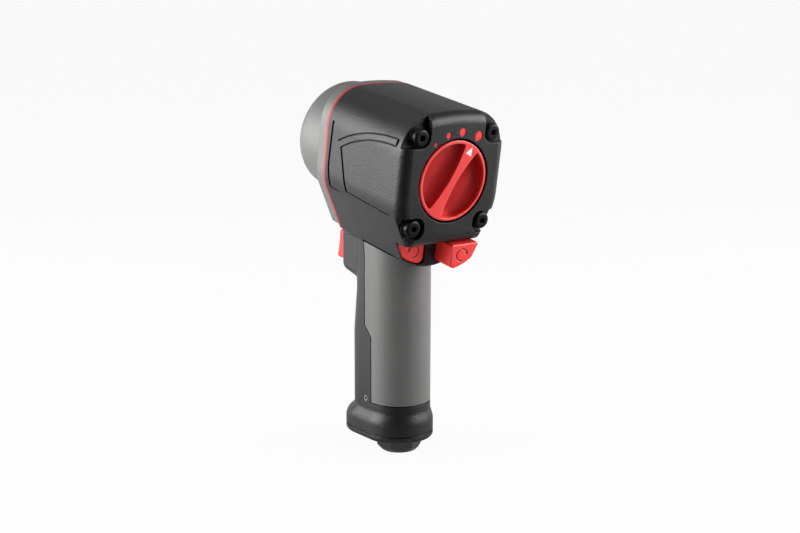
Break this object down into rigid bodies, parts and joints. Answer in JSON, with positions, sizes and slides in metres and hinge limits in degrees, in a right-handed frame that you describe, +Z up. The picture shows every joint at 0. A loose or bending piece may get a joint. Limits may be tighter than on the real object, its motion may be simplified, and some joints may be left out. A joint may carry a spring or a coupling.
{
  "type": "air impact wrench",
  "caption": "Compact pistol-grip air impact wrench with square drive, power dial, push-through reverse buttons, trigger and a threaded air inlet in the foot.",
  "frame": {"origin": "centre of the mouth of the threaded air inlet, at the bottom of the foot", "axes": "+Z up the handle, +Y towards the square drive, +X to the right of a user who holds it"},
  "size_m": [0.062, 0.1229, 0.1898],
  "materials": {
    "housing_black": "fine-grained satin",
    "grip_grey": "soft matte",
    "trim_red": "satin",
    "case_grey": "matte cast",
    "bolt_black": "black oxide",
    "washer_black": "black oxide",
    "mark_red": "satin",
    "polished_steel": "polished",
    "plain_steel": "machined",
    "dark_steel": "hardened, dark",
    "inlet_steel": "machined",
    "bronze": "machined",
    "alloy": "machined",
    "seal_black": "matte",
    "felt_grey": "felt",
    "vane_brown": "laminate",
    "dial_red": "satin",
    "pointer_white": "matte",
    "button_red": "satin",
    "trigger_red": "satin"
  },
  "bodies": {
    "tool": {"housing": "housing_black", "handle_grip": "grip_grey", "front_trim": "trim_red", "hammer_case": "case_grey", "housing_bolts": "bolt_black", "bolt_washers": "washer_black", "setting_marks": "mark_red", "detent_ball": "polished_steel", "detent_spring": "plain_steel", "throttle_seat": "bronze", "throttle_spring": "plain_steel", "inlet_bushing": "inlet_steel", "inlet_oring": "seal_black", "inlet_screen": "bronze", "retaining_pin": "plain_steel", "base_plate": "housing_black", "muffler": "felt_grey", "motor_cylinder": "plain_steel", "rear_end_plate": "alloy", "front_end_plate": "alloy", "cylinder_dowel": "plain_steel", "rear_bearing_outer_race": "polished_steel", "rear_bearing_balls": "polished_steel", "front_bearing_outer_race": "polished_steel", "front_bearing_balls": "polished_steel", "front_bushing": "bronze"},
    "rotor": {"rotor": "plain_steel", "rotor_vanes": "vane_brown", "rear_bearing_inner_race": "polished_steel", "front_bearing_inner_race": "polished_steel", "hammer_cage": "plain_steel", "hammer_pins": "polished_steel"},
    "hammer": {"hammer": "dark_steel"},
    "anvil": {"anvil": "dark_steel", "socket_ring": "plain_steel", "socket_ring_oring": "seal_black"},
    "dial": {"power_dial": "dial_red", "dial_pointer": "pointer_white", "regulator_valve": "bronze", "dial_screw": "plain_steel", "dial_oring": "seal_black"},
    "trigger": {"trigger": "trigger_red", "trigger_rod": "plain_steel"},
    "throttle": {"throttle_valve": "bronze"},
    "reverse_left": {"reverse_button_left": "button_red"},
    "reverse_right": {"reverse_button_right": "button_red"},
    "reverse_valve": {"reverse_valve": "alloy"}
  },
  "joints": [
    {"name": "rotor_spin", "type": "hinge", "parent": "tool", "child": "rotor", "pos_m": [0, 0, 0.1525], "axis": [0, 0.9877, 0.1564], "continuous": true},
    {"name": "anvil_spin", "type": "hinge", "parent": "tool", "child": "anvil", "pos_m": [0, 0.05926, 0.16189], "axis": [0, 0.9877, 0.1564], "continuous": true},
    {"name": "hammer_rock", "type": "hinge", "parent": "rotor", "child": "hammer", "pos_m": [0, 0.03149, 0.17419], "axis": [0, 0.9877, 0.1564], "range_deg": [0, 7]},
    {"name": "dial_turn", "type": "hinge", "parent": "tool", "child": "dial", "pos_m": [0, -0.04326, 0.14565], "axis": [0, -0.9877, -0.1564], "range_deg": [0, 65.5]},
    {"name": "trigger_press", "type": "slide", "parent": "tool", "child": "trigger", "axis": [0, -1, 0], "range_m": [0, 0.005], "stiffness_N_per_m": 800, "springref_m": -0.003, "deforming": ["throttle_spring"]},
    {"name": "throttle_tilt", "type": "hinge", "parent": "tool", "child": "throttle", "pos_m": [0, 0.0072, 0.073], "axis": [1, 0, 0], "range_deg": [0, 10.25]},
    {"name": "reverse_left_slide", "type": "slide", "parent": "tool", "child": "reverse_left", "axis": [0, -0.9877, -0.1564], "range_m": [0, 0.0126]},
    {"name": "reverse_right_slide", "type": "slide", "parent": "tool", "child": "reverse_right", "axis": [0, -0.9877, -0.1564], "range_m": [-0.0126, 0]},
    {"name": "reverse_valve_turn", "type": "hinge", "parent": "tool", "child": "reverse_valve", "pos_m": [0, -0.00538, 0.12127], "axis": [0, -0.1564, 0.9877], "range_deg": [0, 120]}
  ],
  "couplings": [
    {"joint": "anvil_spin", "follows": "rotor_spin", "ratio": 1},
    {"joint": "throttle_tilt", "follows": "trigger_press", "rad_per_m": 35.714},
    {"joint": "reverse_right_slide", "follows": "reverse_left_slide", "ratio": -1},
    {"joint": "reverse_valve_turn", "follows": "reverse_left_slide", "rad_per_m": 166.22}
  ]
}
